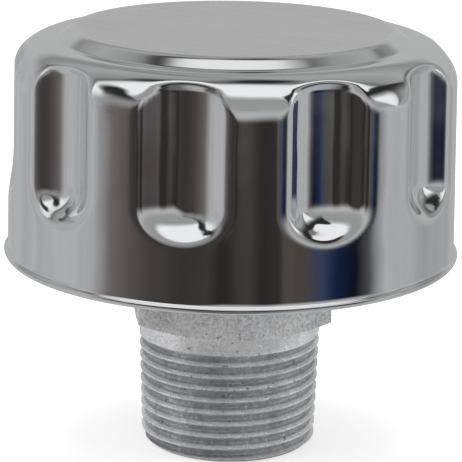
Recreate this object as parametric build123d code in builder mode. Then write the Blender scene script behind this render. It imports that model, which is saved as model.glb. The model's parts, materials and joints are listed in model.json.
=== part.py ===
from build123d import *

import os
from math import cos, pi, radians, sin, tan

# Hydraulic filler breather: a fluted, chrome-plated sheet-steel cap over a filter cartridge, on a hexagon nipple.
#
# The nipple screws into the reservoir with a tapered pipe thread. Air enters under the cap's rolled rim, passes
# through the slots in the pan, crosses the pleated paper and leaves down the nipple's bore.
#
# Frame: millimetres, +Z up along the thread's axis. The origin is the centre of the nipple's lower end face.
# One flute is centred on +X, and two of the hexagon's flats face +X and -X.

# Pipe thread and nipple
PIPE_THREAD_R = 13.335  # major radius where the thread runs out, of a 3/4-14 taper pipe thread
PIPE_TAPER = 1 / 32  # fall in radius for each unit of length
THREAD_LENGTH = 16.6
THREAD_LEAD_IN = 0.9  # depth of the chamfer at the thread's end
COLLAR_LENGTH = 2.4  # plain band between the thread and the hexagon
BORE_R = 9.0
BORE_CHAMFER = 0.6
HEX_ACROSS_FLATS = 28.0
HEX_HEIGHT = 11.0
HEX_CHAMFER_ANGLE = 17.0
HEX_CHAMFER_INSET = 0.3  # how far inside the flats the turned chamfer begins
SPIGOT_R = 10.9
ROLLED_LIP_REACH = 1.7  # how far the rolled end of the spigot stands out
ROLLED_LIP_HEIGHT = 1.0

# Sheet and running clearances
CAP_SHEET = 0.8
PAN_SHEET = 0.8
FIT_CLEARANCE = 0.05

# Washers clamped by the rolled lip
SEAL_WASHER_R = 15.0
SEAL_WASHER_HEIGHT = 1.0
BACKING_WASHER_R = 14.0
BACKING_WASHER_HEIGHT = 1.0

# Cap
FLUTES = 10
WALL_FOOT_R = 32.6  # outer radius where the side meets the rim's flare
WALL_DRAFT = 1.0  # degrees that the side leans in
RIM_WIDEST = 29.4  # height of the rolled rim's widest point
RIM_ROLL_R = 1.25  # outer radius of the rolled rim
RIM_STAND_OUT = 0.55  # how far the rolled rim stands out from the wall
RIM_FLARE_HEIGHT = 2.2
RIM_CURL = 205.0  # degrees that the rim is rolled, from its widest point inwards
CAP_HEIGHT = 32.4  # from the rim's widest point to the top disc
CORNER_R = 7.0
SHOULDER_LEDGE = 0.6  # from the corner's round to the foot of the disc's step, before the side's draft
TOP_DISC_RISE = 1.5
TOP_STEP_WIDTH = 2.6
TOP_STEP_ROUND = 1.3
FLUTE_R = 6.6
FLUTE_DEPTH = 3.0
FLUTE_FOOT = 9.2  # from the rim's widest point to the foot of a flute, before its edge is rounded
FLUTE_EDGE_R = 3.2

# Pan that holds the cartridge
PAN_DEPTH = 21.0
PAN_CORNER_R = 2.4
PAN_SLOTS = 10
PAN_SLOT_LENGTH = 6.0
PAN_SLOT_WIDTH = 2.0
PAN_SLOT_EDGE = 4.6  # from the pan's outer wall to the slots' centreline

# Filter cartridge
GASKET_INNER_R = 15.0
GASKET_OUTER_R = 20.0
GASKET_HEIGHT = 1.5
CARTRIDGE_AIR_GAP = 2.2  # from the pan's wall to the cartridge, before the side's draft
CARTRIDGE_HEIGHT = 20.4
END_CAP_SHEET = 0.5
END_CAP_LIP = 2.4
CORE_R = 13.6
CORE_SHEET = 0.5
CORE_ROWS = 4
CORE_HOLES_ROUND = 12
CORE_HOLE_R = 1.3
PLEATS = 40
PAPER_SHEET = 0.5
PAPER_CLEARANCE = 0.2
PLEAT_TIP = 2.0  # width of the paper over an outer fold
PLEAT_VALLEY = 0.6  # width of the gap at an inner fold

# Hold-down spring
SPRING_WIRE_R = 0.7
SPRING_COIL_R = 11.0
SPRING_TURNS = 3.0

# Splash baffle
BAFFLE_R = 7.0
BAFFLE_DISH = 1.2
BAFFLE_RISE = 5.0  # from the rolled lip to the disc's edge
BAFFLE_SHEET = 0.6
BAFFLE_LEGS = 3
BAFFLE_LEG_WIDTH = 3.0
BAFFLE_FOOT_LENGTH = 1.6

# Heights worked out from the sizes above
hex_bottom = THREAD_LENGTH + COLLAR_LENGTH
hex_top = hex_bottom + HEX_HEIGHT
pan_bottom = hex_top + SEAL_WASHER_HEIGHT
pan_floor = pan_bottom + PAN_SHEET
lip_bottom = pan_floor + BACKING_WASHER_HEIGHT
nipple_top = lip_bottom + ROLLED_LIP_HEIGHT
cartridge_bottom = pan_floor + GASKET_HEIGHT
cartridge_top = cartridge_bottom + CARTRIDGE_HEIGHT
paper_bottom = cartridge_bottom + END_CAP_SHEET
paper_top = cartridge_top - END_CAP_SHEET
top_height = RIM_WIDEST + CAP_HEIGHT
shoulder_height = top_height - TOP_DISC_RISE
wall_foot = RIM_WIDEST + RIM_FLARE_HEIGHT
lip_r = SPIGOT_R + ROLLED_LIP_REACH
flute_floor_r = WALL_FOOT_R - FLUTE_DEPTH - (shoulder_height - wall_foot) / 2 * tan(radians(WALL_DRAFT))
pan_r = flute_floor_r - CAP_SHEET - FIT_CLEARANCE
top_disc_r = WALL_FOOT_R - CORNER_R - SHOULDER_LEDGE - TOP_STEP_WIDTH
cartridge_r = WALL_FOOT_R - FLUTE_DEPTH - CAP_SHEET - PAN_SHEET - CARTRIDGE_AIR_GAP


def ring(inner_r, outer_r, bottom, height):
    """A flat washer about the Z axis."""
    with BuildPart() as washer:
        with BuildSketch(Plane.XY.offset(bottom)):
            Circle(outer_r)
            Circle(inner_r, mode=Mode.SUBTRACT)
        extrude(amount=height)
    return washer.part


def hex_nipple():
    """The turned nipple: tapered thread blank, plain collar, chamfered hexagon and a spigot with a rolled lip."""
    end_r = PIPE_THREAD_R - THREAD_LENGTH * PIPE_TAPER
    corner_r = HEX_ACROSS_FLATS / 2 / cos(pi / 6)
    chamfer_r = HEX_ACROSS_FLATS / 2 - HEX_CHAMFER_INSET
    chamfer_rise = (corner_r - chamfer_r) * tan(radians(HEX_CHAMFER_ANGLE))
    with BuildPart() as nipple:
        with BuildSketch(Plane.XY.offset(hex_bottom)):
            RegularPolygon(HEX_ACROSS_FLATS / 2, 6, major_radius=False, rotation=30)
        extrude(amount=HEX_HEIGHT)
        with BuildSketch(Plane.XZ):
            Polygon(
                (0, hex_bottom),
                (chamfer_r, hex_bottom),
                (corner_r, hex_bottom + chamfer_rise),
                (corner_r, hex_top - chamfer_rise),
                (chamfer_r, hex_top),
                (0, hex_top),
                align=None,
            )
        revolve(axis=Axis.Z, mode=Mode.INTERSECT)
        with BuildSketch(Plane.XZ):
            with BuildLine():
                Polyline(
                    (0, 0),
                    (end_r - THREAD_LEAD_IN, 0),
                    (end_r + THREAD_LEAD_IN * PIPE_TAPER, THREAD_LEAD_IN),
                    (PIPE_THREAD_R, THREAD_LENGTH),
                    (PIPE_THREAD_R, hex_bottom),
                    (SPIGOT_R, hex_bottom),
                    (SPIGOT_R, lip_bottom),
                    (lip_r - ROLLED_LIP_HEIGHT / 2, lip_bottom),
                )
                ThreePointArc(
                    (lip_r - ROLLED_LIP_HEIGHT / 2, lip_bottom),
                    (lip_r, lip_bottom + ROLLED_LIP_HEIGHT / 2),
                    (lip_r - ROLLED_LIP_HEIGHT / 2, nipple_top),
                )
                Polyline((lip_r - ROLLED_LIP_HEIGHT / 2, nipple_top), (0, nipple_top), (0, 0))
            make_face()
        revolve(axis=Axis.Z)
        with BuildSketch(Plane.XY):
            Circle(BORE_R)
        extrude(amount=nipple_top, mode=Mode.SUBTRACT)
        bore_mouth = nipple.edges().filter_by(GeomType.CIRCLE).filter_by_position(Axis.Z, -0.01, 0.01)
        chamfer(bore_mouth.sort_by(SortBy.RADIUS)[0], BORE_CHAMFER)
    return nipple.part


def flute_tool(inset):
    """The round-footed tool that presses one flute, at +X, made larger by the inset of the surface that it cuts."""
    radius = FLUTE_R + inset
    axis_r = flute_floor_r + FLUTE_R
    foot = RIM_WIDEST + FLUTE_FOOT + FLUTE_R
    with BuildPart() as tool:
        with BuildSketch(Plane.XZ):
            with BuildLine():
                ThreePointArc(
                    (axis_r, foot - radius),
                    (axis_r - radius * cos(pi / 4), foot - radius * sin(pi / 4)),
                    (axis_r - radius, foot),
                )
                Polyline(
                    (axis_r - radius, foot), (axis_r - radius, top_height), (axis_r, top_height), (axis_r, foot - radius)
                )
            make_face()
        revolve(axis=Axis((axis_r, 0, 0), (0, 0, 1)))
    return tool.part


def cap_form(inset):
    """The solid that one face of the cap's sheet bounds: the drawn cup with its top disc and its rounded flutes."""
    draft = tan(radians(WALL_DRAFT))
    foot_r = WALL_FOOT_R - inset
    shoulder = shoulder_height - inset
    land = (cos(pi / FLUTES), sin(pi / FLUTES))
    with BuildPart() as form:
        with BuildSketch(Plane((0, 0, 0), x_dir=(*land, 0), z_dir=(land[1], -land[0], 0))):
            with BuildLine():
                Polyline(
                    (0, wall_foot),
                    (foot_r, wall_foot),
                    (foot_r - (shoulder - wall_foot) * draft, shoulder),
                    (top_disc_r + TOP_STEP_WIDTH - inset, shoulder),
                    (top_disc_r - inset, top_height - inset),
                    (0, top_height - inset),
                    close=True,
                )
            outline = make_face()
            upper_corners = outline.vertices().filter_by(lambda v: v.Y > wall_foot + 1 and v.X > 1)
            disc_edge, step_foot, corner = upper_corners.sort_by(Axis.X)
            fillet(corner, CORNER_R - inset)
            fillet(disc_edge, TOP_STEP_ROUND)
        revolve(axis=Axis.Z)
        with PolarLocations(0, FLUTES):
            add(flute_tool(inset), mode=Mode.SUBTRACT)
        fillet(form.edges().filter_by(GeomType.BSPLINE), FLUTE_EDGE_R - inset)
    return form.part


def rolled_rim():
    """The cap's rim: the sheet flares out below the side and curls inwards into a hollow roll."""
    roll_r = WALL_FOOT_R + RIM_STAND_OUT - RIM_ROLL_R
    inner_roll_r = RIM_ROLL_R - CAP_SHEET

    def on_roll(radius, angle):
        return (roll_r + radius * cos(radians(angle)), RIM_WIDEST - radius * sin(radians(angle)))

    with BuildPart() as rim:
        with BuildSketch(Plane.XZ):
            with BuildLine():
                Line((WALL_FOOT_R, wall_foot), on_roll(RIM_ROLL_R, 0))
                ThreePointArc(
                    on_roll(RIM_ROLL_R, 0), on_roll(RIM_ROLL_R, RIM_CURL / 2), on_roll(RIM_ROLL_R, RIM_CURL)
                )
                Line(on_roll(RIM_ROLL_R, RIM_CURL), on_roll(inner_roll_r, RIM_CURL))
                ThreePointArc(
                    on_roll(inner_roll_r, RIM_CURL), on_roll(inner_roll_r, RIM_CURL / 2), on_roll(inner_roll_r, 0)
                )
                Polyline(on_roll(inner_roll_r, 0), (WALL_FOOT_R - CAP_SHEET, wall_foot), (WALL_FOOT_R, wall_foot))
            make_face()
        revolve(axis=Axis.Z)
    return rim.part


def cap_shell():
    """The drawn and chrome-plated cap: one sheet with ten flutes, a raised top disc and a rolled rim."""
    with BuildPart() as cap:
        add(cap_form(0))
        add(cap_form(CAP_SHEET), mode=Mode.SUBTRACT)
        add(rolled_rim())
    return cap.part


def filter_pan():
    """The drawn pan that the flutes grip, with a hole for the spigot and a ring of air slots."""
    with BuildPart() as pan:
        with BuildSketch(Plane.XY.offset(pan_bottom)):
            Circle(pan_r)
        extrude(amount=PAN_DEPTH)
        fillet(pan.faces().sort_by(Axis.Z)[0].edges(), PAN_CORNER_R)
        offset(amount=-PAN_SHEET, openings=pan.faces().sort_by(Axis.Z)[-1])
        with BuildSketch(Plane.XY.offset(pan_bottom)):
            Circle(SPIGOT_R + FIT_CLEARANCE)
            with PolarLocations(pan_r - PAN_SLOT_EDGE, PAN_SLOTS):
                SlotOverall(PAN_SLOT_LENGTH, PAN_SLOT_WIDTH, rotation=90)
        extrude(amount=PAN_SHEET, mode=Mode.SUBTRACT)
    return pan.part


def splash_baffle():
    """The dished disc that stands on three bent legs over the bore, on the nipple's rolled lip."""
    disc_bottom = nipple_top + BAFFLE_RISE - BAFFLE_SHEET
    leg_r = BORE_R + BAFFLE_SHEET
    dish_r = (BAFFLE_R**2 + BAFFLE_DISH**2) / (2 * BAFFLE_DISH)
    with BuildPart() as baffle:
        with BuildSketch(Plane.XZ):
            with BuildLine():
                Line((0, disc_bottom + BAFFLE_DISH), (0, disc_bottom + BAFFLE_DISH + BAFFLE_SHEET))
                RadiusArc(
                    (0, disc_bottom + BAFFLE_DISH + BAFFLE_SHEET), (BAFFLE_R, disc_bottom + BAFFLE_SHEET), dish_r
                )
                Line((BAFFLE_R, disc_bottom + BAFFLE_SHEET), (BAFFLE_R, disc_bottom))
                RadiusArc((BAFFLE_R, disc_bottom), (0, disc_bottom + BAFFLE_DISH), -dish_r)
            make_face()
        revolve(axis=Axis.Z)
        with BuildSketch(Plane.XZ, mode=Mode.PRIVATE) as leg:
            Polygon(
                (BAFFLE_R - BAFFLE_SHEET, disc_bottom),
                (leg_r, disc_bottom),
                (leg_r, nipple_top),
                (leg_r + BAFFLE_FOOT_LENGTH, nipple_top),
                (leg_r + BAFFLE_FOOT_LENGTH, nipple_top + BAFFLE_SHEET),
                (leg_r + BAFFLE_SHEET, nipple_top + BAFFLE_SHEET),
                (leg_r + BAFFLE_SHEET, disc_bottom + BAFFLE_SHEET),
                (BAFFLE_R - BAFFLE_SHEET, disc_bottom + BAFFLE_SHEET),
                align=None,
            )
        bent_leg = extrude(leg.sketch, amount=BAFFLE_LEG_WIDTH / 2, both=True, mode=Mode.PRIVATE)
        with PolarLocations(0, BAFFLE_LEGS):
            add(bent_leg)
    return baffle.part


def end_cap(outer_face, toward_paper, hole_r):
    """One of the cartridge's end caps: a disc with a rim turned over the paper (toward_paper is +1 up, -1 down)."""
    with BuildPart() as cap:
        with BuildSketch(Plane.XY.offset(outer_face)):
            Circle(cartridge_r)
            if hole_r:
                Circle(hole_r, mode=Mode.SUBTRACT)
        extrude(amount=END_CAP_SHEET * toward_paper)
        with BuildSketch(Plane.XY.offset(outer_face)):
            Circle(cartridge_r)
            Circle(cartridge_r - END_CAP_SHEET, mode=Mode.SUBTRACT)
        extrude(amount=END_CAP_LIP * toward_paper)
    return cap.part


def core_tube():
    """The perforated tube inside the paper, with its rows of holes staggered."""
    height = paper_top - paper_bottom
    with BuildPart() as core:
        add(ring(CORE_R - CORE_SHEET, CORE_R, paper_bottom, height))
        for row in range(CORE_ROWS):
            row_height = paper_bottom + height * (row + 0.5) / CORE_ROWS
            stagger = 180 / CORE_HOLES_ROUND * (row % 2)
            with Locations((0, 0, row_height)):
                with PolarLocations(0, CORE_HOLES_ROUND, start_angle=stagger):
                    Cylinder(
                        CORE_HOLE_R,
                        CORE_R + 1,
                        rotation=(0, 90, 0),
                        align=(Align.CENTER, Align.CENTER, Align.MIN),
                        mode=Mode.SUBTRACT,
                    )
    return core.part


def pleat_outline(tip_r, tip_half_width, valley_r, valley_half_width):
    """The closed zigzag that one face of the pleated paper follows, with flat folds."""
    points = []
    for fold in range(2 * PLEATS):
        is_tip = fold % 2 == 0
        radius = tip_r if is_tip else valley_r
        half_angle = (tip_half_width if is_tip else valley_half_width) / radius
        middle = pi * fold / PLEATS
        points.append((radius * cos(middle - half_angle), radius * sin(middle - half_angle)))
        points.append((radius * cos(middle + half_angle), radius * sin(middle + half_angle)))
    return points


def pleated_media():
    """The filter paper, folded into pleats between the core tube and the end caps' rims."""
    tip_r = cartridge_r - END_CAP_SHEET - PAPER_CLEARANCE
    valley_r = CORE_R + PAPER_CLEARANCE + PAPER_SHEET
    outer = pleat_outline(tip_r, PLEAT_TIP / 2, valley_r, PLEAT_VALLEY / 2)
    inner = pleat_outline(
        tip_r - PAPER_SHEET, PLEAT_TIP / 2 - PAPER_SHEET, valley_r - PAPER_SHEET, PLEAT_VALLEY / 2 + PAPER_SHEET
    )
    with BuildPart() as media:
        with BuildSketch(Plane.XY.offset(paper_bottom)):
            Polygon(*outer, align=None)
            Polygon(*inner, align=None, mode=Mode.SUBTRACT)
        extrude(amount=paper_top - paper_bottom)
    return media.part


def hold_down_spring():
    """The coil spring that presses the cartridge down from the underside of the cap."""
    height = top_height - CAP_SHEET - cartridge_top - 2 * SPRING_WIRE_R
    with BuildPart() as spring:
        with BuildLine() as coil:
            Helix(height / SPRING_TURNS, height, SPRING_COIL_R, center=(0, 0, cartridge_top + SPRING_WIRE_R))
        with BuildSketch(Plane(origin=coil.line @ 0, z_dir=coil.line % 0)):
            Circle(SPRING_WIRE_R)
        sweep(path=coil.line, is_frenet=True)
    return spring.part


os.makedirs("parts", exist_ok=True)
pieces = {
    "cap_shell": cap_shell(),
    "filter_pan": filter_pan(),
    "hex_nipple": hex_nipple(),
    "seal_washer": ring(SPIGOT_R + FIT_CLEARANCE, SEAL_WASHER_R, hex_top, SEAL_WASHER_HEIGHT),
    "backing_washer": ring(SPIGOT_R + FIT_CLEARANCE, BACKING_WASHER_R, pan_floor, BACKING_WASHER_HEIGHT),
    "splash_baffle": splash_baffle(),
    "element_gasket": ring(GASKET_INNER_R, GASKET_OUTER_R, pan_floor, GASKET_HEIGHT),
    "lower_end_cap": end_cap(cartridge_bottom, 1, CORE_R - CORE_SHEET),
    "core_tube": core_tube(),
    "pleated_media": pleated_media(),
    "upper_end_cap": end_cap(cartridge_top, -1, 0),
    "hold_down_spring": hold_down_spring(),
}
for name, piece in pieces.items():
    piece.label = name
    export_step(piece, f"parts/{name}.step")
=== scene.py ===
"""Looks of a hydraulic filler breather: finishes, pressed chrome cap, cut pipe thread and studio.

Lengths are in millimetres in the classes' fields. Every mesh is built in metres in the solids' frame: +Z up
along the thread's axis, with the origin at the centre of the nipple's lower end face.
"""

import json
import logging
import math
from collections.abc import Iterable
from dataclasses import dataclass, field
from enum import Enum

import bpy
from mathutils import Euler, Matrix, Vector

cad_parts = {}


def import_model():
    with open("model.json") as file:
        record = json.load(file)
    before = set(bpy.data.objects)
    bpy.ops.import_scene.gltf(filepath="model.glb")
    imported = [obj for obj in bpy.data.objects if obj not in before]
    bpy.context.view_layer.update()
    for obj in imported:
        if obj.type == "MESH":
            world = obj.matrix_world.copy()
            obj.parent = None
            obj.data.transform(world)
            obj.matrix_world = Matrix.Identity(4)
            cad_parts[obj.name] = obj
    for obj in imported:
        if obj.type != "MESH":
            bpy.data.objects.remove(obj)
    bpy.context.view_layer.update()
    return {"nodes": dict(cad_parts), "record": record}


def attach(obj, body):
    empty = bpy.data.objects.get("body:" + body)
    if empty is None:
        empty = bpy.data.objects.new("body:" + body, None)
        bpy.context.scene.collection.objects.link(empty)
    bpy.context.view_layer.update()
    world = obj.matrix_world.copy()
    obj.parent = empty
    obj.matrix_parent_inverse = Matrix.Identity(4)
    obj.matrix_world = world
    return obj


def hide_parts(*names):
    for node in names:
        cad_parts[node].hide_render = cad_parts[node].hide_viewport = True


MM = 0.001
NOISE_REACH = (0.3, 0.7)  # noise textures seldom leave this range
ROOT_SHADE_MASK = "cut"  # name of the mesh attribute that holds the thread's cut share, shifted up under the crests: the mask of the painted shade in its roots
OVERSHOOT = 0.01  # how far a chamfering tool stands past the face that it ends on
CLEAR = 1.0  # how far other tools stand past, or into, what they cut or join
LEFT_OUT = 0.5  # a ramp's new stop starts here, before it is placed
SENSOR_WIDTH = 36.0
NEAR_CLIP = 10.0
log = logging.getLogger("breather")

Socket = bpy.types.NodeSocket
Stops = tuple[tuple[float, str], ...]
Colour = tuple[float, float, float, float]


class Body(Enum):
    """CAD bodies that pieces ride on."""

    ROOT = "root"


class Slot(Enum):
    """Material slots of the record."""

    CHROME = "chrome_plate"
    ZINC = "zinc_plate"
    SPRING = "spring_steel"
    RUBBER = "seal_rubber"
    PAPER = "filter_paper"


def metres(*lengths: float) -> tuple[float, ...]:
    """Turns lengths in mm into metres."""
    return tuple(length * MM for length in lengths)


# ---------------------------------------------------------------- shading helpers


def linear(colour: str) -> Colour:
    """Turns an sRGB hex colour into the linear values that a shader takes.

    Args:
        colour: Six hex digits after a #.

    Returns:
        Red, green, blue and full opacity.
    """
    digits = colour.lstrip("#")
    channels = (int(digits[i : i + 2], 16) / 255 for i in (0, 2, 4))
    red, green, blue = (
        c / 12.92 if c <= 0.04045 else ((c + 0.055) / 1.055) ** 2.4 for c in channels
    )
    return red, green, blue, 1.0


@dataclass
class Shader:
    """A node tree under construction.

    Args:
        tree: The material's or world's node tree, emptied on creation.
    """

    tree: bpy.types.NodeTree

    def __post_init__(self) -> None:
        """Empties the tree."""
        self.tree.nodes.clear()

    @classmethod
    def material(cls, name: str) -> tuple[bpy.types.Material, "Shader"]:
        """Makes a material with an empty tree."""
        made = bpy.data.materials.new(name)
        made.use_nodes = True
        return made, cls(made.node_tree)

    def add(self, kind: str, inputs: dict | None = None, **settings: str) -> bpy.types.Node:
        """Adds a node, with its inputs set or linked.

        Args:
            kind: Node type without the leading "ShaderNode".
            inputs: Input name or index to a value or to an output socket.
            **settings: Attributes of the node.

        Returns:
            The node.
        """
        node = self.tree.nodes.new("ShaderNode" + kind)
        for name, value in settings.items():
            setattr(node, name, value)
        for key, value in (inputs or {}).items():
            if isinstance(value, bpy.types.NodeSocket):
                self.tree.links.new(value, node.inputs[key])
            else:
                node.inputs[key].default_value = value
        return node

    def place(self) -> Socket:
        """Gives the place on the object, in metres."""
        return self.add("TexCoord").outputs["Object"]

    def math(self, operation: str, *values: float | Socket) -> Socket:
        """Does a sum on one to three values."""
        return self.add("Math", dict(enumerate(values)), operation=operation).outputs[0]

    def span(
        self,
        value: Socket,
        low: float,
        high: float,
        to_low: float = 0.0,
        to_high: float = 1.0,
    ) -> Socket:
        """Maps a range smoothly and clamped onto another."""
        limits = {"From Min": low, "From Max": high, "To Min": to_low, "To Max": to_high}
        return self.add("MapRange", {"Value": value, **limits}, interpolation_type="SMOOTHSTEP").outputs[0]

    def noise(self, place: Socket, fineness: float, detail: float, roughness: float = 0.5) -> Socket:
        """Gives noise, mostly within NOISE_REACH.

        Args:
            place: Place that it varies with.
            fineness: Waves in each unit of the place.
            detail: Number of finer layers.
            roughness: Strength of each layer as a share of the one before.

        Returns:
            The noise.
        """
        inputs = {"Vector": place, "Scale": fineness, "Detail": detail, "Roughness": roughness}
        return self.add("TexNoise", inputs).outputs[0]

    def ramp(self, factor: Socket, stops: Iterable[tuple[float, str]]) -> Socket:
        """Gives a colour from a ramp.

        Args:
            factor: Place on the ramp, from 0 to 1.
            stops: Places and hex colours, in order.

        Returns:
            The colour.
        """
        node = self.add("ValToRGB", {0: factor})
        stops = list(stops)
        elements = node.color_ramp.elements
        while len(elements) < len(stops):
            elements.new(LEFT_OUT)
        for element, (place, colour) in zip(elements, stops):
            element.position = place
            element.color = linear(colour)
        return node.outputs[0]

    def mix(self, factor: Socket, first: Colour | Socket, second: Colour | Socket) -> Socket:
        """Mixes two colours, each a value or an output socket."""
        return self.add("Mix", {"Factor": factor, 6: first, 7: second}, data_type="RGBA").outputs[2]

    def scaled(self, colour: Socket, by: Socket) -> Socket:
        """Multiplies a colour by a number."""
        return self.add("VectorMath", {0: colour, 3: by}, operation="SCALE").outputs[0]

    def relief(
        self,
        height: Socket,
        depth: float,
        strength: float | Socket = 1.0,
        under: Socket | None = None,
    ) -> Socket:
        """Gives the normal of a face with relief.

        Args:
            height: Height of the relief, from 0 to 1.
            depth: Its full depth, in mm.
            strength: How much of it shows.
            under: Normal of the coarser relief under it.

        Returns:
            The normal.
        """
        inputs = {"Height": height, "Distance": depth * MM, "Strength": strength}
        if under is not None:
            inputs["Normal"] = under
        return self.add("Bump", inputs).outputs[0]

    def face(self, colour: Socket, roughness: float | Socket, normal: Socket, metallic: float = 0.0) -> None:
        """Adds a principled surface and joins it to the output."""
        inputs = {"Base Color": colour, "Metallic": metallic, "Roughness": roughness, "Normal": normal}
        self.surface(self.add("BsdfPrincipled", inputs).outputs[0])

    def surface(self, socket: Socket) -> None:
        """Joins a shader to the output."""
        kind = "OutputWorld" if isinstance(self.tree.id_data, bpy.types.World) else "OutputMaterial"
        self.add(kind, {"Surface": socket})


# ---------------------------------------------------------------- finishes


@dataclass(frozen=True)
class ChromePlate:
    """Bright chrome over slightly wavy pressed sheet, with a brushed top disc.

    Args:
        plate: Colour of the chrome.
        brushed: Colours of the brush strokes, from the deepest to the highest.
        disc_heights: Heights between which the brushing sets in, in mm.
        disc_radii: Radii between which it sets in, from outside, in mm.
        stroke_length: Mean length of a brush stroke, in mm.
        stroke_pitch: Mean distance between strokes, in mm.
        stroke_angle: Direction of the strokes about Z, in degrees.
        stroke_depth: Depth of a stroke, in mm.
        stroke_strength: How much of that depth shows.
        stroke_roughness: Least and most that a stroke adds to the roughness.
        smear_size: Size of the duller smears, in mm.
        smear_reach: Noise at which a smear begins and is full.
        smear_roughness: Roughness between the smears and within them.
        wave_size: Length of the pressed sheet's waves, in mm.
        wave_height: Height of those waves, in mm.
    """

    plate: str = "#e8e9ea"
    brushed: Stops = ((0.3, "#dadadb"), (0.5, "#f1f1f2"), (0.7, "#ffffff"))
    disc_heights: tuple[float, float] = (61.05, 61.75)
    disc_radii: tuple[float, float] = (24.2, 21.8)
    stroke_length: float = 60.0
    stroke_pitch: float = 0.35
    stroke_angle: float = 38.0
    stroke_depth: float = 0.02
    stroke_strength: float = 0.9
    stroke_roughness: tuple[float, float] = (0.20, 0.34)
    smear_size: float = 14.0
    smear_reach: tuple[float, float] = (0.35, 0.75)
    smear_roughness: tuple[float, float] = (0.045, 0.085)
    wave_size: float = 7.0
    wave_height: float = 0.07

    def build(self) -> bpy.types.Material:
        """Makes the material: chrome-plated sheet steel."""
        made, s = Shader.material("chrome_plated_sheet_steel")
        place = s.place()
        on_disc = self.on_disc(s, place)
        strokes = self.strokes(s, place)
        smears = s.noise(place, 1 / (self.smear_size * MM), detail=3.0)
        waves = s.noise(place, 1 / (self.wave_size * MM), detail=1.5, roughness=0.3)
        brushing = s.math("MULTIPLY", on_disc, s.span(strokes, *NOISE_REACH, *self.stroke_roughness))
        roughness = s.math("ADD", s.span(smears, *self.smear_reach, *self.smear_roughness), brushing)
        colour = s.mix(on_disc, linear(self.plate), s.ramp(strokes, self.brushed))
        wavy = s.relief(waves, self.wave_height)
        normal = s.relief(strokes, self.stroke_depth, s.math("MULTIPLY", on_disc, self.stroke_strength), wavy)
        s.face(colour, roughness, normal, metallic=1.0)
        return made

    def on_disc(self, s: Shader, place: Socket) -> Socket:
        """Tells whether a place is on the top disc.

        Args:
            s: The material's shader.
            place: The place, in metres.

        Returns:
            1 on the disc and 0 off it, with a soft edge.
        """
        x, y, z = s.add("SeparateXYZ", {0: place}).outputs
        radius = s.math("SQRT", s.math("ADD", s.math("POWER", x, 2), s.math("POWER", y, 2)))
        high_enough = s.span(z, *metres(*self.disc_heights))
        return s.math("MULTIPLY", high_enough, s.span(radius, *metres(*self.disc_radii)))

    def strokes(self, s: Shader, place: Socket) -> Socket:
        """Gives the height of the brush strokes.

        Args:
            s: The material's shader.
            place: The place, in metres.

        Returns:
            The height, mostly within NOISE_REACH.
        """
        turn = {"Vector": place, "Angle": math.radians(self.stroke_angle)}
        turned = s.add("VectorRotate", turn, rotation_type="Z_AXIS").outputs[0]
        fineness = (1 / (self.stroke_length * MM), 1 / (self.stroke_pitch * MM), 1.0)
        drawn_out = s.add("Mapping", {"Vector": turned, "Scale": fineness}).outputs[0]
        return s.noise(drawn_out, 1.0, detail=5.0, roughness=0.7)


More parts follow.
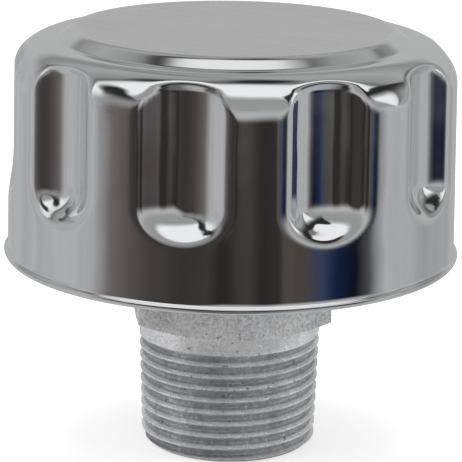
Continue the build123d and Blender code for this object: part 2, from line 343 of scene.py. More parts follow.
@dataclass(frozen=True)
class ZincPlate:
    """Dull zinc plate or oiled steel, with the steel's grain, pits, and painted shade in thread roots, under
    the cap and at the end.

    Args:
        name: Material name.
        light: Colour of the plate.
        dark: Colour of its duller spots.
        hollow: Colour of the painted shade deep in a thread's roots.
        grain: Size of the grain, in mm.
        roughness: Lowest and highest roughness.
        relief: Depth of the grain, in mm.
        relief_strength: How much of that depth shows.
        metallic: How far the face mirrors rather than scatters; plate with a dull bloom does both.
        blotch: Size of the duller blotches, in mm.
        grain_share: Share of the grain in the plate's colour, beside the blotches.
        dull_reach: Noise at which the duller spots end and the plate is light.
        hollow_reach: The same, deep in a thread.
        rough_reach: Noise at which the plate is roughest and smoothest.
        cut_reach: Depths of a thread, as a share of the whole, between which the painted shade sets in.
        pit: Mean distance between the plate's pits, in mm.
        pit_reach: Noise at which a pit begins and is full.
        pit_and_shade_colour: Colour of the pits and of the painted shade under the cap and at the nipple's
            end.
        pit_and_shade_shares: Share of that colour in a pit, in the painted shade under the cap and in the
            painted shade on the nipple's end.
        shade_under_cap: Heights on the hexagon where the painted shade under the cap begins, is darkest and
            ends, in mm.
        shade_under_cap_fade: Height over which it ends, in mm.
        end_shade_heights: Heights between which the painted shade on the nipple's end fades out, in mm.
    """

    name: str = "zinc_plated_steel"
    light: str = "#f6f6f6"
    dark: str = "#a2a3a5"
    hollow: str = "#77797c"
    grain: float = 0.45
    roughness: tuple[float, float] = (0.28, 0.5)
    relief: float = 0.03
    relief_strength: float = 0.6
    metallic: float = 0.55
    blotch: float = 5.0
    grain_share: float = 0.65
    dull_reach: tuple[float, float] = (0.35, 0.6)
    hollow_reach: tuple[float, float] = (0.35, 0.7)
    rough_reach: tuple[float, float] = (0.35, 0.65)
    cut_reach: tuple[float, float] = (0.04, 0.38)
    pit: float = 0.7
    pit_reach: tuple[float, float] = (0.68, 0.73)
    pit_and_shade_colour: str = "#3b3b3d"
    pit_and_shade_shares: tuple[float, float, float] = (0.75, 0.7, 0.5)
    shade_under_cap: tuple[float, float, float] = (23.1, 24.3, 29.5)
    shade_under_cap_fade: float = 2.0
    end_shade_heights: tuple[float, float] = (0.3, 1.5)

    def build(self) -> bpy.types.Material:
        """Makes the material: zinc-plated or oiled steel."""
        made, s = Shader.material(self.name)
        place = s.place()
        grain = s.noise(place, 1 / (self.grain * MM), detail=4.0, roughness=0.65)
        blotches = s.noise(place, 1 / (self.blotch * MM), detail=3.0)
        weighed = s.math("MULTIPLY", grain, self.grain_share)
        both = s.math("ADD", weighed, s.math("MULTIPLY", blotches, 1 - self.grain_share))
        plate = s.ramp(both, zip(self.dull_reach, (self.dark, self.light)))
        # Painted shade: a darker copy of the plate, mixed in at the thread's roots and just under its crests
        # by the shifted cut mask.
        root_shade = s.ramp(both, zip(self.hollow_reach, (self.hollow, self.dark)))
        cut = s.add("Attribute", attribute_name=ROOT_SHADE_MASK).outputs["Fac"]
        plate_with_root_shade = s.mix(s.span(cut, *self.cut_reach), plate, root_shade)
        roughness = s.span(both, *self.rough_reach, *reversed(self.roughness))
        normal = s.relief(grain, self.relief, self.relief_strength)
        s.face(self.pits_and_painted_shade(s, place, plate_with_root_shade), roughness, normal, self.metallic)
        return made

    def pits_and_painted_shade(self, s: Shader, place: Socket, plate_with_root_shade: Socket) -> Socket:
        """Adds pits, painted shade under the cap and painted shade on the nipple's end to a colour.

        Args:
            s: The material's shader.
            place: The place, in metres.
            plate_with_root_shade: Colour without them, with the painted shade in the thread's roots already
                in it.

        Returns:
            The colour with them.
        """
        in_pit, in_shade_under_cap, in_end_shade = self.pit_and_shade_shares
        # This dark colour serves both the real pits and the painted shade under the cap and at the nipple's
        # end.
        pit_and_shade_colour = linear(self.pit_and_shade_colour)
        specks = s.noise(place, 1 / (self.pit * MM), detail=2.0)
        pitted = s.mix(s.span(specks, *self.pit_reach, 0.0, in_pit), plate_with_root_shade, pit_and_shade_colour)
        height = s.add("SeparateXYZ", {0: place}).outputs[2]
        # Painted shade: a dark band on the hexagon's upper part, under the cap's rim, fading out towards the
        # hexagon's top.
        begin, thickest, end = metres(*self.shade_under_cap)
        fading = s.span(height, end, end - self.shade_under_cap_fade * MM)
        shade_under_cap = s.math("MULTIPLY", s.span(height, begin, thickest, 0.0, in_shade_under_cap), fading)
        # Painted shade: the nipple's lower end is darker, most at the end face.
        end_shade = s.span(height, *metres(*self.end_shade_heights), in_end_shade, 0.0)
        return s.mix(s.math("MAXIMUM", shade_under_cap, end_shade), pitted, pit_and_shade_colour)


@dataclass(frozen=True)
class SoftMatter:
    """A dull non-metal, such as nitrile rubber or filter paper, with a fibrous or grainy face.

    Args:
        name: Material name.
        light: Colour of the raised grain.
        dark: Colour of the hollows.
        grain: Size of the grain, in mm.
        roughness: Roughness.
        relief: Depth of the grain, in mm.
        relief_strength: How much of that depth shows.
        reach: Noise at which the hollows end and the grain is raised.
    """

    name: str
    light: str
    dark: str
    grain: float
    roughness: float
    relief: float
    relief_strength: float = 0.5
    reach: tuple[float, float] = (0.35, 0.65)

    def build(self) -> bpy.types.Material:
        """Makes the material: rubber or paper."""
        made, s = Shader.material(self.name)
        grain = s.noise(s.place(), 1 / (self.grain * MM), detail=4.0)
        colour = s.ramp(grain, zip(self.reach, (self.dark, self.light)))
        s.face(colour, self.roughness, s.relief(grain, self.relief, self.relief_strength))
        return made


# ---------------------------------------------------------------- mesh helpers


def polar(r: float, angle: float, z: float) -> Vector:
    """Gives a point in metres from its radius and height in mm."""
    return Vector((r * math.cos(angle), r * math.sin(angle), z)) * MM


def turns(count: int) -> list[float]:
    """Gives angles spaced evenly round a full turn."""
    return [2 * math.pi * i / count for i in range(count)]


def circle(r: float, z: float, count: int) -> list[Vector]:
    """Gives points spaced evenly round the Z axis."""
    return [polar(r, angle, z) for angle in turns(count)]


def ring_mesh(name: str, rings: list[list[Vector]], closed: bool) -> bpy.types.Object:
    """Makes a mesh from rings of points, each with as many points as the next.

    Args:
        name: Name of the object and its mesh.
        rings: Rings of points in metres, or a single point for a pole.
        closed: Whether the last ring joins the first.

    Returns:
        The object, linked to the scene.
    """
    starts, points, faces = [], [], []
    for ring in rings:
        starts.append(len(points))
        points.extend(ring)
    pairs = list(zip(range(len(rings)), range(1, len(rings))))
    if closed:
        pairs.append((len(rings) - 1, 0))
    for a, b in pairs:
        count = max(len(rings[a]), len(rings[b]))
        for i in range(count):
            j = (i + 1) % count
            corners = [
                starts[a] + i % len(rings[a]),
                starts[b] + i % len(rings[b]),
                starts[b] + j % len(rings[b]),
                starts[a] + j % len(rings[a]),
            ]
            faces.append(list(dict.fromkeys(corners)))
    mesh = bpy.data.meshes.new(name)
    mesh.from_pydata([tuple(p) for p in points], [], faces)
    mesh.update()
    made = bpy.data.objects.new(name, mesh)
    bpy.context.scene.collection.objects.link(made)
    return made


def select_only(piece: bpy.types.Object) -> None:
    """Makes a piece the only selected object, and the active one."""
    bpy.ops.object.select_all(action="DESELECT")
    piece.select_set(True)
    bpy.context.view_layer.objects.active = piece


def face_outwards(piece: bpy.types.Object) -> None:
    """Turns a piece's faces outwards."""
    select_only(piece)
    bpy.ops.object.mode_set(mode="EDIT")
    bpy.ops.mesh.select_all(action="SELECT")
    bpy.ops.mesh.normals_make_consistent(inside=False)
    bpy.ops.object.mode_set(mode="OBJECT")


def finish_mesh(piece: bpy.types.Object, material: bpy.types.Material, angle: float) -> None:
    """Turns a piece's faces outwards, smooths its shading under an angle and gives it its material.

    Args:
        piece: The piece.
        material: Its only material.
        angle: Edges that turn by less than this, in degrees, are shaded smooth.
    """
    face_outwards(piece)
    bpy.ops.object.shade_smooth_by_angle(angle=math.radians(angle))
    piece.data.materials.clear()
    piece.data.materials.append(material)


def boolean(piece: bpy.types.Object, tool: bpy.types.Object, operation: str) -> None:
    """Applies a Boolean with a tool, which it then removes.

    Args:
        piece: The piece that is changed.
        tool: The closed mesh that changes it.
        operation: UNION, DIFFERENCE or INTERSECT.
    """
    select_only(piece)
    step = piece.modifiers.new("boolean", "BOOLEAN")
    step.operation = operation
    step.object = tool
    step.solver = "EXACT"
    bpy.ops.object.modifier_apply(modifier=step.name)
    bpy.data.objects.remove(tool)


def smooth_max(value: float, reach: float) -> float:
    """Gives the larger of a value and zero, rounded where they are close.

    Args:
        value: The value.
        reach: How close they are where the rounding begins.

    Returns:
        The rounded larger one.
    """
    if reach <= 0 or abs(value) >= reach:
        return max(value, 0.0)
    return (value + reach) ** 2 / (4 * reach)


# ---------------------------------------------------------------- cap


@dataclass(frozen=True)
class Profile:
    """A point of the cap's section: its radius, its height, and the side's radius at that height, in mm."""

    r: float
    z: float
    side_r: float


@dataclass(frozen=True)
class Rows:
    """Number of rings in each stretch of the cap's section."""

    disc: int = 6
    step: int = 30
    shoulder: int = 2
    corner: int = 46
    side: int = 58
    flare: int = 8
    roll: int = 20


@dataclass(frozen=True)
class PressedCap:
    """The cap's sheet, as a turned section whose side is pressed in at the flutes.

    Args:
        flutes: Number of flutes, the first of them on +X.
        side_foot_r: Outer radius at the foot of the side.
        draft: Lean of the side, in degrees.
        rim_height: Height of the rim's widest point.
        rim_roll_r: Outer radius of the rolled rim.
        rim_stand_out: How far the roll stands out from the side.
        rim_flare: Height of the flare above the rim's widest point.
        rim_curl: Degrees that the rim is rolled.
        height: From the rim's widest point to the top disc.
        corner_r: Radius of the corner.
        disc_r: Radius of the top disc.
        disc_rise: Height of the top disc over the shoulder.
        step_width: Width of the slope round the top disc.
        step_rounds: Shares of that width in its round edge and in the hollow at its foot.
        step_inset: How far the inner face's step lies inside the outer one's, as a share of the sheet.
        floor_r: Radius of a flute's hollow, across its section.
        edge_r: Radius of a flute's edges.
        depth: Depth of a flute.
        foot: From the rim's widest point to a flute's lowest point.
        foot_reach: Height of a flute's rounded foot.
        head: From the rim's widest point to a flute's upper end.
        head_reach: Height of a flute's rounded head.
        head_blend: How far a flute's head and the corner are rounded into each other.
        sheet: Thickness.
        pole_r: Radius of the first ring round the middle of the disc.
        columns: Points round the cap.
        rows: Rings of the outer face.
        inner_fineness: Rings of the inner face, as a share of the outer face's.
    """

    flutes: int = 10
    side_foot_r: float = 32.6
    draft: float = 1.0
    rim_height: float = 29.4
    rim_roll_r: float = 0.85
    rim_stand_out: float = 0.55
    rim_flare: float = 0.4
    rim_curl: float = 205.0
    height: float = 32.4
    corner_r: float = 5.7
    disc_r: float = 22.6
    disc_rise: float = 1.5
    step_width: float = 2.8
    step_rounds: tuple[float, float] = (0.4, 0.15)
    step_inset: float = 0.3
    floor_r: float = 7.4
    edge_r: float = 3.1
    depth: float = 3.1
    foot: float = 7.8
    foot_reach: float = 5.4
    head: float = 31.1
    head_reach: float = 2.5
    head_blend: float = 1.6
    sheet: float = 0.8
    pole_r: float = 0.4
    columns: int = 400
    rows: Rows = Rows()
    inner_fineness: float = 0.28

    @property
    def shoulder(self) -> float:
        """Height of the shoulder that the top disc stands on."""
        return self.rim_height + self.height - self.disc_rise

    @property
    def side_foot(self) -> float:
        """Height of the side's foot."""
        return self.rim_height + self.rim_flare

    def side_r(self, z: float, inset: float) -> float:
        """Radius of the side at a height, on the face that lies inside the outer one by an inset."""
        return self.side_foot_r - inset - max(0.0, z - self.side_foot) * math.tan(math.radians(self.draft))

    def pressed(self, across: float, z: float, inset: float) -> float:
        """Gives a flute's depth at a place.

        A flute's section is a hollow arc that runs into an arc at each edge, and its foot and head turn that
        section round.

        Args:
            across: Distance from the flute's middle, along the side.
            z: Height.
            inset: How far the face lies inside the outer one.

        Returns:
            The depth, measured inwards from the side.
        """
        hollow = self.floor_r + inset
        edge = self.edge_r - inset
        angle = math.acos(1 - self.depth / (hollow + edge))
        reach = (hollow + edge) * math.sin(angle)
        foot_centre = self.rim_height + self.foot + self.foot_reach
        head_centre = self.rim_height + self.head - self.head_reach
        past_foot = max(0.0, foot_centre - z) * reach / self.foot_reach
        past_head = max(0.0, z - head_centre) * reach / self.head_reach
        away = math.hypot(across, past_foot, past_head)
        if away >= reach:
            return 0.0
        if away <= hollow * math.sin(angle):
            return self.depth - (hollow - math.sqrt(hollow**2 - away**2))
        return edge - math.sqrt(edge**2 - (reach - away) ** 2)

    def step_fall(self, t: float) -> float:
        """Share of the disc's rise that is lost on the way across its step.

        Args:
            t: Share of the way across.

        Returns:
            The share that is lost, from 0 to 1.
        """
        edge, hollow = self.step_rounds
        fall = 1 - edge / 2 - hollow / 2
        if t < edge:
            return t * t / (2 * edge) / fall
        if t < 1 - hollow:
            return (t - edge / 2) / fall
        return 1 - (1 - t) ** 2 / (2 * hollow) / fall

    def section(self, inset: float, fineness: float) -> list[Profile]:
        """Gives one face of the sheet, from the middle of the top disc to the end of the rim's roll.

        Args:
            inset: How far that face lies inside the outer one.
            fineness: Multiplies the number of points.

        Returns:
            The section's points.
        """
        points: list[Profile] = []

        def put(r: float, z: float) -> None:
            """Adds a point."""
            points.append(Profile(r, z, self.side_r(z, inset)))

        def steps(count: int) -> list[float]:
            """Gives shares from 0 up to, but without, 1."""
            total = max(2, round(count * fineness))
            return [i / total for i in range(total)]

        top = self.rim_height + self.height - inset
        disc_r = self.disc_r - inset * self.step_inset
        for t in steps(self.rows.disc):
            put(self.pole_r + (disc_r - self.pole_r) * t, top)
        for t in steps(self.rows.step):
            put(disc_r + self.step_width * t, top - self.disc_rise * self.step_fall(t))
        shoulder = self.shoulder - inset
        corner = self.corner_r - inset
        corner_z = shoulder - corner
        corner_x = self.side_r(corner_z, inset) - corner
        step_foot_r = disc_r + self.step_width
        for t in steps(self.rows.shoulder):
            put(step_foot_r + (corner_x - step_foot_r) * t, shoulder)
        for t in steps(self.rows.corner):
            turn = t * math.pi / 2
            put(corner_x + corner * math.sin(turn), corner_z + corner * math.cos(turn))
        for t in steps(self.rows.side):
            z = corner_z + (self.side_foot - corner_z) * t
            put(self.side_r(z, inset), z)
        for t in steps(self.rows.flare):
            ease = t * t * (3 - 2 * t)
            put(self.side_foot_r - inset + self.rim_stand_out * ease, self.side_foot - self.rim_flare * t)
        roll = self.rim_roll_r - inset
        roll_x = self.side_foot_r + self.rim_stand_out - self.rim_roll_r
        for t in [*steps(self.rows.roll), 1.0]:
            turn = math.radians(self.rim_curl) * t
            put(roll_x + roll * math.cos(turn), self.rim_height - roll * math.sin(turn))
        return points

    def ring(self, point: Profile, inset: float) -> list[Vector]:
        """Turns a point of the section about Z, pressed in at the flutes.

        Args:
            point: The point.
            inset: How far its face lies inside the outer one.

        Returns:
            The ring of points, in metres.
        """
        gap = max(0.0, point.side_r - point.r)
        if point.z < self.side_foot or gap >= self.depth + self.head_blend:
            return circle(point.r, point.z, self.columns)
        pitch = 2 * math.pi / self.flutes
        made = []
        for angle in turns(self.columns):
            off = (angle + pitch / 2) % pitch - pitch / 2
            depth = self.pressed(abs(off) * point.side_r, point.z, inset)
            pushed = smooth_max(depth - gap, min(self.head_blend, gap)) if depth else 0.0
            made.append(polar(point.r - pushed, angle, point.z))
        return made

    def build(self, material: bpy.types.Material) -> bpy.types.Object:
        """Makes the cap as one closed sheet."""
        outer = self.section(0.0, 1.0)
        inner = self.section(self.sheet, self.inner_fineness)
        rings = [[polar(0, 0, outer[0].z)]]
        rings += [self.ring(point, 0.0) for point in outer]
        rings += [self.ring(point, self.sheet) for point in reversed(inner)]
        rings.append([polar(0, 0, inner[0].z)])
        cap = ring_mesh("pressed_cap", rings, closed=False)
        finish_mesh(cap, material, angle=60)
        return cap


# ---------------------------------------------------------------- nipple


@dataclass(frozen=True)
class ThreadedNipple:
    """The nipple: a hexagon with turned chamfers, a spigot with a rolled lip, and a cut taper thread.

    Args:
        thread_r: Radius over the crests where the thread ends at the collar.
        taper: Fall in radius for each unit of length.
        pitch: Distance from crest to crest.
        thread_depth: From crest to root.
        thread_length: From the end face to the collar.
        run_out: From the collar's start to where the cut, which dies out over one pitch, would be gone.
        collar_step: Height over which the last of the cut gives way to the collar.
        undercut: Depth and height of the groove under the hexagon.
        undercut_slope: From the hexagon down to where the slope into that groove begins.
        end_r: Radius of the end face, inside its chamfer.
        end_edge: Width and height of the worn edge round the end face.
        lead_in: Height that the end's chamfer would take to reach the thread's full radius.
        hexagon: Heights of the hexagon's lower and upper face.
        across_flats: Size of the hexagon.
        chamfer_angle: Slope of the turned chamfers, in degrees.
        chamfer_inset: How far inside the flats the chamfers begin.
        bore_r: Radius of the bore.
        bore_chamfer: Size of the bore's chamfer.
        spigot_r: Radius of the spigot.
        lip: Radius and height of the rolled lip.
        lip_steps: Number of flats in the lip's round.
        top: Height of the nipple.
        edge_wear: Width of the worn edges.
        edge_angle: Least turn of an edge that wears, in degrees.
        crest_share: Width of a crest as a share of the pitch.
        shade_shift: How far the painted shade in the thread's roots lies above its cut, so that it reaches up
            under the crests, as a share of the pitch.
        columns: Points round the thread.
        block_columns: Points round the turned faces of the hexagon's piece.
        rows_per_pitch: Rings in each turn of the thread.
    """

    thread_r: float = 13.335
    taper: float = 1 / 32
    pitch: float = 1.814
    thread_depth: float = 0.8
    thread_length: float = 16.6
    run_out: float = 0.7
    collar_step: float = 0.3
    undercut: float = 0.1
    undercut_slope: float = 0.25
    end_r: float = 11.9
    end_edge: tuple[float, float] = (0.6, 0.02)
    lead_in: float = 0.95 / 0.75
    hexagon: tuple[float, float] = (19.0, 30.0)
    across_flats: float = 28.0
    chamfer_angle: float = 17.0
    chamfer_inset: float = 0.3
    bore_r: float = 9.0
    bore_chamfer: float = 0.6
    spigot_r: float = 10.9
    lip: tuple[float, float] = (12.6, 1.0)
    lip_steps: int = 8
    top: float = 33.8
    edge_wear: float = 0.18
    edge_angle: float = 12.0
    crest_share: float = 0.16
    shade_shift: float = 0.1
    columns: int = 192
    block_columns: int = 96
    rows_per_pitch: int = 20

    def crest_r(self, z: float) -> float:
        """Radius over the crests at a height, or of the end's chamfer where that is smaller."""
        taper_r = self.thread_r - (self.thread_length - z) * self.taper
        return min(taper_r, self.end_r + (self.thread_r - self.end_r) * z / self.lead_in)

    def cut(self, angle: float, z: float) -> float:
        """Share of the thread's depth that is cut at a place, with narrow crests and wide round roots.

        Args:
            angle: Direction about Z, in radians.
            z: Height.

        Returns:
            The share, which dies out past the thread's end.
        """
        phase = (z / self.pitch - angle / (2 * math.pi)) % 1.0
        from_crest = abs(phase - 0.5) * 2
        fall = min(1.0, max(0.0, (from_crest - self.crest_share) / (1 - self.crest_share)))
        left = min(1.0, max(0.0, (self.thread_length + self.run_out - z) / self.pitch))
        return math.sin(fall * math.pi / 2) * left

    def thread_ring(self, z: float) -> list[Vector]:
        """Gives the points round the thread at a height."""
        taper_r = self.thread_r - (self.thread_length - z) * self.taper
        crest_r = self.crest_r(z)
        return [
            polar(min(taper_r - self.thread_depth * self.cut(angle, z), crest_r), angle, z)
            for angle in turns(self.columns)
        ]

    def thread(self) -> bpy.types.Object:
        """Makes the threaded length and the collar over it, with the bore through them."""
        collar_top = self.hexagon[0]
        edge_width, edge_height = self.end_edge
        outline = [
            (self.thread_r, self.thread_length + self.collar_step),
            (self.thread_r, collar_top - self.undercut_slope),
            (self.thread_r - self.undercut, collar_top - self.undercut),
            (self.thread_r - self.undercut, collar_top),
            (self.bore_r, collar_top),
            (self.bore_r, self.bore_chamfer),
            (self.bore_r + self.bore_chamfer, 0.0),
            (self.end_r - edge_width, 0.0),
            (self.end_r, edge_height),
        ]
        rows = round(self.thread_length / self.pitch * self.rows_per_pitch)
        rings = [self.thread_ring(self.thread_length * row / rows) for row in range(1, rows + 1)]
        rings += [circle(r, z, self.columns) for r, z in outline]
        thread = ring_mesh("thread", rings, closed=True)
        self.record_root_shade_mask(thread)
        return thread

    def record_root_shade_mask(self, thread: bpy.types.Object) -> None:
        """Writes how deep the thread is cut at each point, shifted up by shade_shift, into the mesh, as the
        mask of the finish's painted shade.

        Args:
            thread: The thread's piece.
        """
        depths = thread.data.attributes.new(ROOT_SHADE_MASK, "FLOAT", "POINT")
        for vertex, kept in zip(thread.data.vertices, depths.data):
            x, y, z = (c / MM for c in vertex.co)
            outside = math.hypot(x, y) > self.bore_r + CLEAR
            if outside and z < self.thread_length:
                # The cut is read a little lower down, so the painted shade it masks reaches up under each
                # crest.
                kept.value = self.cut(math.atan2(y, x), z - self.shade_shift * self.pitch)

    def hexagon_block(self) -> bpy.types.Object:
        """Makes the hexagon with its chamfers, the spigot and the lip, with the bore through them."""
        bottom, top = self.hexagon
        corner_r = self.across_flats / 2 / math.cos(math.pi / 6)
        bpy.ops.mesh.primitive_cylinder_add(
            vertices=6,
            radius=corner_r * MM,
            depth=(top - bottom) * MM,
            location=(0, 0, (top + bottom) / 2 * MM),
        )
        block = bpy.context.active_object
        block.name = block.data.name = "hexagon"
        bpy.ops.object.transform_apply(location=True, rotation=True, scale=True)
        flat_r = self.across_flats / 2 - self.chamfer_inset
        rise = (corner_r - flat_r) * math.tan(math.radians(self.chamfer_angle))
        chamfered = [
            (flat_r, bottom - OVERSHOOT),
            (corner_r, bottom + rise),
            (corner_r, top - rise),
            (flat_r, top + OVERSHOOT),
        ]
        boolean(block, self.turned(chamfered), "INTERSECT")
        boolean(block, self.turned([(self.spigot_r, top - CLEAR), *self.lip_outline()]), "UNION")
        bore = [(self.bore_r, bottom - CLEAR), (self.bore_r, self.top + CLEAR)]
        boolean(block, self.turned(bore), "DIFFERENCE")
        return block

    def lip_outline(self) -> list[tuple[float, float]]:
        """Gives the radii and heights of the spigot's upper end and the round of its lip."""
        lip_r, lip_height = self.lip
        lip_low = self.top - lip_height
        round_r = lip_height / 2
        halves = [math.pi * i / self.lip_steps for i in range(self.lip_steps + 1)]
        lip_round = [
            (lip_r - round_r * (1 - math.sin(a)), lip_low + round_r * (1 - math.cos(a))) for a in halves
        ]
        return [(self.spigot_r, lip_low), *lip_round]

    def turned(self, outline: list[tuple[float, float]]) -> bpy.types.Object:
        """Makes a closed solid of revolution.

        Args:
            outline: Radii and heights of its outline, bottom first.

        Returns:
            The solid.
        """
        rings = [[polar(0, 0, outline[0][1])]]
        rings += [circle(r, z, self.block_columns) for r, z in outline]
        rings.append([polar(0, 0, outline[-1][1])])
        solid = ring_mesh("turned", rings, closed=False)
        face_outwards(solid)
        return solid

    def wear_edges(self, block: bpy.types.Object) -> None:
        """Bevels the edges of the hexagon's piece a little.

        Args:
            block: The piece.
        """
        select_only(block)
        edges = block.modifiers.new("worn_edges", "BEVEL")
        edges.width = self.edge_wear * MM
        edges.segments = 2
        edges.limit_method = "ANGLE"
        edges.angle_limit = math.radians(self.edge_angle)
        bpy.ops.object.modifier_apply(modifier=edges.name)

    def build(
        self, block_finish: bpy.types.Material, thread_finish: bpy.types.Material
    ) -> list[bpy.types.Object]:
        """Makes the nipple.

        Args:
            block_finish: Material of the hexagon and the spigot.
            thread_finish: Material of the thread and the collar.

        Returns:
            The thread and the hexagon, as two pieces.
        """
        thread = self.thread()
        finish_mesh(thread, thread_finish, angle=25)
        block = self.hexagon_block()
        self.wear_edges(block)
        finish_mesh(block, block_finish, angle=30)
        return [thread, block]


# ---------------------------------------------------------------- studio


@dataclass(frozen=True)
class Horizon:
    """Where the surround's level zones give way to the high ones, as heights on a sphere with a radius of 1.

    Args:
        height: Mean height.
        lean: How much higher it is on one side than the mean.
        lean_side: That side, in degrees to the left of the camera.
        stand_out: How far single things stand out over it or stay under it.
        things: Number of waves of noise round the surround that such things come from.
        lowest: Least height.
        blend: How far the zones blend into each other on each side of it.
    """

    height: float = 0.02
    lean: float = 0.36
    lean_side: float = 75.0
    stand_out: float = 0.34
    things: float = 13.0
    lowest: float = -0.02
    blend: float = 0.22

    def build(self, s: Shader, side: Socket, turn: Socket) -> Socket:
        """Gives the horizon's height.

        Args:
            s: The world's shader.
            side: Direction about Z from the camera's, in radians.
            turn: The same as a share of a full turn.

        Returns:
            The height.
        """
        from_lean = s.math("ADD", side, math.radians(self.lean_side))
        leaning = s.math("MULTIPLY", s.math("COSINE", from_lean), self.lean)
        along = s.add("CombineXYZ", {0: s.math("MULTIPLY", turn, self.things)}).outputs[0]
        noise = s.math("SUBTRACT", s.noise(along, 1.0, detail=0.0), 0.5)
        single = s.math("MULTIPLY", noise, 2 * self.stand_out)
        whole = s.math("ADD", s.math("ADD", leaning, self.height), single)
        return s.math("MAXIMUM", whole, self.lowest)


@dataclass(frozen=True)
class UnlitThings:
    """Dark things that stand among the surround's high zones.

    Args:
        colour: Their colour.
        fineness: Waves of noise that they come from in each unit of a sphere with a radius of 1.
        reach: Noise at which one begins and is full.
        heights: Heights on that sphere between which they set in.
        behind: Places on it, measured towards the camera, between which they set in.
    """

    colour: str = "#302f2e"
    fineness: float = 1.9
    reach: tuple[float, float] = (0.56, 0.64)
    heights: tuple[float, float] = (0.35, 0.6)
    behind: tuple[float, float] = (-0.85, -0.6)

    def build(self, s: Shader, way: Socket, high: Socket) -> Socket:
        """Sets the things into the high zones.

        Args:
            s: The world's shader.
            way: Direction, with X towards the camera's side.
            high: Colour of the high zones.

        Returns:
            The colour with the things.
        """
        ahead, _, up = s.add("SeparateXYZ", {0: way}).outputs
        seen = s.math("MULTIPLY", s.span(ahead, *self.behind), s.span(up, *self.heights))
        things = s.span(s.noise(way, self.fineness, detail=0.0), *self.reach)
        return s.mix(s.math("MULTIPLY", things, seen), high, linear(self.colour))


@dataclass(frozen=True)
class Lamp:
    """A soft rectangular lamp that faces the object, and that the metal doesn't mirror.

    Args:
        name: Name of the lamp.
        turn: Direction about Z from the camera's, in degrees, to the camera's right.
        tilt: Direction over the level, in degrees.
        away: Distance from the studio's target, in mm.
        size: Width and height, in mm.
        watts: Power.
    """

    name: str
    turn: float
    tilt: float
    away: float
    size: tuple[float, float]
    watts: float


def outwards(turn: float, tilt: float) -> Vector:
    """Gives the direction at an angle about Z and an angle over the level, in degrees."""
    a, t = math.radians(turn), math.radians(tilt)
    return Vector((math.cos(t) * math.cos(a), math.cos(t) * math.sin(a), math.sin(t)))


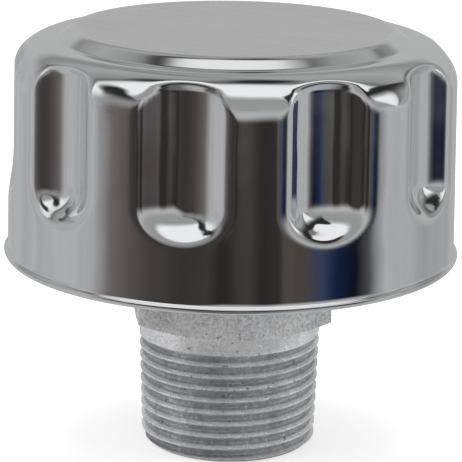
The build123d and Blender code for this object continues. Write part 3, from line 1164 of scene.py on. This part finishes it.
@dataclass(frozen=True)
class Studio:
    """The camera, the surround that the chrome mirrors, the lamps and the floor.

    Args:
        target: Point that the camera and the lamps are placed from, in mm.
        aim: Point that the camera looks at, in mm.
        azimuth: Camera's direction from the target about Z, in degrees.
        elevation: Camera's direction from the target over the level, in degrees.
        distance: From the target to the camera, in mm.
        lens: Focal length, in mm.
        roll: Turn of the camera about its axis, in degrees.
        level_zones: Colours that the metal mirrors level with it, by degrees to the right of the camera.
        low_zones: Colours that it mirrors from below, in the same way.
        high_zones: Colours that it mirrors overhead, by degrees up from the camera's side over to the back.
        low_blend: Heights between which the level zones give way to the low ones.
        horizon: Where the level zones give way to the high ones.
        unlit: Dark things among the high zones.
        clutter: Darkest and brightest share of the level zones' colours, where things stand in them.
        clutter_waves: Waves of noise that the clutter comes from, in a full turn and in each unit of height.
        lamps: The lamps.
        floor_size: Width of the floor, in mm.
        floor_glow: Strength of the floor's own white.
        floor_paint: Colour of the floor, which shows the object's shadow.
    """

    target: tuple[float, float, float] = (0.0, 0.0, 29.4)
    aim: tuple[float, float, float] = (0.0, 0.0, 31.5)
    azimuth: float = -96.0
    elevation: float = 15.37
    distance: float = 345.0
    lens: float = 183.1
    roll: float = 0.95
    level_zones: Stops = (
        (-180, "#b7b7b8"),
        (-74, "#b7b7b9"),
        (-63, "#6f6b67"),
        (-40, "#464240"),
        (-24, "#3a3836"),
        (-11, "#413e3b"),
        (-6, "#2c2b28"),
        (-1, "#2c2b28"),
        (4, "#3f3d3a"),
        (10, "#403e3c"),
        (15, "#302e2c"),
        (24, "#34322f"),
        (27, "#504c49"),
        (38, "#4b4744"),
        (46, "#36415a"),
        (54, "#132245"),
        (66, "#0d1119"),
        (74, "#4c4e52"),
        (84, "#bfbfc0"),
        (118, "#a1a1a2"),
        (160, "#b5b5b6"),
        (180, "#bcbcbd"),
    )
    low_zones: Stops = (
        (-180, "#c2c2c2"),
        (-60, "#b4b4b4"),
        (-20, "#6c6c6e"),
        (20, "#6c6c6e"),
        (60, "#aaaaaa"),
        (180, "#c2c2c2"),
    )
    high_zones: Stops = (
        (0, "#c6c6c6"),
        (14, "#bcbcbc"),
        (30, "#a4a4a4"),
        (52, "#a0a0a0"),
        (58, "#bcbcbc"),
        (66, "#ffffff"),
        (91, "#ffffff"),
        (99, "#f4f4f4"),
        (106, "#727272"),
        (114, "#9c9c9c"),
        (132, "#b0b0b0"),
        (150, "#949494"),
        (158, "#bcbcbc"),
        (180, "#b8b8b8"),
    )
    low_blend: tuple[float, float] = (-0.42, -0.75)
    horizon: Horizon = Horizon()
    unlit: UnlitThings = UnlitThings()
    clutter: tuple[float, float] = (0.9, 1.08)
    clutter_waves: tuple[float, float] = (26.0, 3.0)
    lamps: tuple[Lamp, ...] = (
        Lamp("key", -70, 35, 500, (260, 360), 1.0),
        Lamp("fill", 75, 30, 500, (260, 360), 1.0),
        Lamp("overhead", 180, 75, 450, (400, 400), 1.5),
    )
    floor_size: float = 4000.0
    floor_glow: float = 0.6
    floor_paint: str = "#c8c8c8"

    def camera(self) -> None:
        """Makes the camera."""
        data = bpy.data.cameras.new("camera")
        data.lens = self.lens
        data.sensor_width = SENSOR_WIDTH
        data.clip_start = NEAR_CLIP * MM
        made = bpy.data.objects.new("camera", data)
        bpy.context.scene.collection.objects.link(made)
        made.location = (Vector(self.target) + outwards(self.azimuth, self.elevation) * self.distance) * MM
        look = (Vector(self.aim) * MM - made.location).to_track_quat("-Z", "Y")
        made.rotation_euler = (look @ Euler((0, 0, math.radians(self.roll))).to_quaternion()).to_euler()
        bpy.context.scene.camera = made

    def world(self) -> None:
        """Makes the surround: white to the camera, and a studio of bright and dark zones to the metal.

        The level zones run once round the object, from behind it past the camera's left and then its right.
        """
        world = bpy.data.worlds.new("studio")
        bpy.context.scene.world = world
        world.use_nodes = True
        s = Shader(world.node_tree)
        turn_back = {"Vector": s.add("TexCoord").outputs["Generated"], "Angle": -math.radians(self.azimuth)}
        way = s.add("VectorRotate", turn_back, rotation_type="Z_AXIS").outputs[0]
        ahead, across, up = s.add("SeparateXYZ", {0: way}).outputs
        side = s.math("ARCTAN2", across, ahead)
        turn = s.add("MapRange", {"Value": side, "From Min": -math.pi, "From Max": math.pi}).outputs[0]
        tilt = s.math("ARCTAN2", up, ahead)
        over = s.add("MapRange", {"Value": tilt, "From Min": 0.0, "From Max": math.pi}).outputs[0]
        level = s.ramp(turn, [(0.5 + degrees / 360, colour) for degrees, colour in self.level_zones])
        low = s.ramp(turn, [(0.5 + degrees / 360, colour) for degrees, colour in self.low_zones])
        high = s.ramp(over, [(degrees / 180, colour) for degrees, colour in self.high_zones])
        level = s.scaled(level, self.clutter_share(s, turn, up))
        high = self.unlit.build(s, way, high)
        over_horizon = s.math("SUBTRACT", up, self.horizon.build(s, side, turn))
        under = s.mix(s.span(up, *self.low_blend), level, low)
        whole = s.mix(s.span(over_horizon, -self.horizon.blend, self.horizon.blend), under, high)
        seen = s.add("LightPath").outputs["Is Camera Ray"]
        s.surface(s.add("Background", {"Color": s.mix(seen, whole, linear("#ffffff"))}).outputs[0])

    def clutter_share(self, s: Shader, turn: Socket, up: Socket) -> Socket:
        """Gives the share of its colour that a level zone keeps.

        Args:
            s: The world's shader.
            turn: Share of a full turn.
            up: Height on a sphere with a radius of 1.

        Returns:
            The share.
        """
        around, in_height = self.clutter_waves
        shapes = {0: s.math("MULTIPLY", turn, around), 1: s.math("MULTIPLY", up, in_height)}
        noise = s.noise(s.add("CombineXYZ", shapes).outputs[0], 1.0, detail=3.0, roughness=0.6)
        return s.span(noise, *NOISE_REACH, *self.clutter)

    def light(self, lamp: Lamp) -> None:
        """Makes a lamp.

        Args:
            lamp: Its place, size and power.
        """
        data = bpy.data.lights.new(lamp.name, "AREA")
        data.shape = "RECTANGLE"
        data.size, data.size_y = metres(*lamp.size)
        data.energy = lamp.watts
        made = bpy.data.objects.new(lamp.name, data)
        bpy.context.scene.collection.objects.link(made)
        out = outwards(self.azimuth + lamp.turn, lamp.tilt)
        made.location = (Vector(self.target) + out * lamp.away) * MM
        made.rotation_euler = (-out).to_track_quat("-Z", "Y").to_euler()
        made.visible_glossy = False

    def floor(self) -> None:
        """Makes the pale floor, which the metal doesn't mirror: it mirrors the surround under it instead."""
        bpy.ops.mesh.primitive_plane_add(size=self.floor_size * MM, location=(0, 0, 0))
        made = bpy.context.active_object
        made.name = "floor"
        material, s = Shader.material("pale_floor")
        glow = s.add("Emission", {"Color": linear("#ffffff"), "Strength": self.floor_glow}).outputs[0]
        paint = s.add("BsdfDiffuse", {"Color": linear(self.floor_paint)}).outputs[0]
        both = s.add("AddShader", {0: glow, 1: paint}).outputs[0]
        clear = s.add("BsdfTransparent").outputs[0]
        mirrored = s.add("LightPath").outputs["Is Glossy Ray"]
        s.surface(s.add("MixShader", {0: mirrored, 1: both, 2: clear}).outputs[0])
        made.data.materials.append(material)

    def build(self) -> None:
        """Makes it all."""
        bpy.context.scene.view_settings.view_transform = "Standard"
        self.camera()
        self.world()
        self.floor()
        for lamp in self.lamps:
            self.light(lamp)


# ---------------------------------------------------------------- assembly


OILED_STEEL = ZincPlate(
    name="oiled_spring_steel",
    light="#5a5a5e",
    dark="#3a3a3d",
    hollow="#2a2a2c",
    grain=0.3,
    roughness=(0.25, 0.4),
    relief=0.01,
)
CUT_ZINC = ZincPlate(
    name="zinc_plated_thread",
    light="#fbfbfc",
    dark="#d0d1d3",
    hollow="#83868a",
    grain=0.6,
    roughness=(0.22, 0.42),
    relief=0.02,
)
NITRILE = SoftMatter(
    name="nitrile_rubber",
    light="#222222",
    dark="#141414",
    grain=0.2,
    roughness=0.62,
    relief=0.02,
)
FILTER_PAPER = SoftMatter(
    name="resin_cured_filter_paper",
    light="#d9c48d",
    dark="#c3ab6f",
    grain=0.25,
    roughness=0.85,
    relief=0.03,
)


@dataclass
class Breather:
    """The object: which piece stands for which CAD node, and which finish each node takes.

    Args:
        nodes: CAD nodes by name.
        finishes: Materials by slot, filled by mix_finishes().
    """

    nodes: dict[str, bpy.types.Object]
    finishes: dict[Slot, bpy.types.Material] = field(default_factory=dict)

    def mix_finishes(self) -> None:
        """Makes one material for each slot."""
        self.finishes = {
            Slot.CHROME: ChromePlate().build(),
            Slot.ZINC: ZincPlate().build(),
            Slot.SPRING: OILED_STEEL.build(),
            Slot.RUBBER: NITRILE.build(),
            Slot.PAPER: FILTER_PAPER.build(),
        }

    def paint(self, record: dict) -> None:
        """Gives each CAD node the material of its slot.

        Args:
            record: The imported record.
        """
        for subpart in record["subparts"]:
            node = self.nodes[subpart["node"]]
            node.data.materials.clear()
            node.data.materials.append(self.finishes[Slot(subpart["material_slot"])])

    def fit(self, piece: bpy.types.Object, node: str) -> None:
        """Lets a piece ride on the body and stand for a CAD node, which it hides.

        Args:
            piece: The piece.
            node: Name of the CAD node.
        """
        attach(piece, Body.ROOT.value)
        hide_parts(node)
        log.info("%s: %d faces", piece.name, len(piece.data.polygons))

    def dress(self) -> None:
        """Makes the pieces that stand for CAD nodes."""
        self.fit(PressedCap().build(self.finishes[Slot.CHROME]), "cap_shell")
        for piece in ThreadedNipple().build(self.finishes[Slot.ZINC], CUT_ZINC.build()):
            self.fit(piece, "hex_nipple")


def main() -> None:
    """Builds the scene in order."""
    logging.basicConfig(level=logging.INFO, format="%(message)s")
    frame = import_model()
    breather = Breather(frame["nodes"])
    breather.mix_finishes()
    breather.paint(frame["record"])
    log.info("finishes: %d", len(breather.finishes))
    breather.dress()
    Studio().build()
    log.info("studio done")


if __name__ == "__main__":
    main()
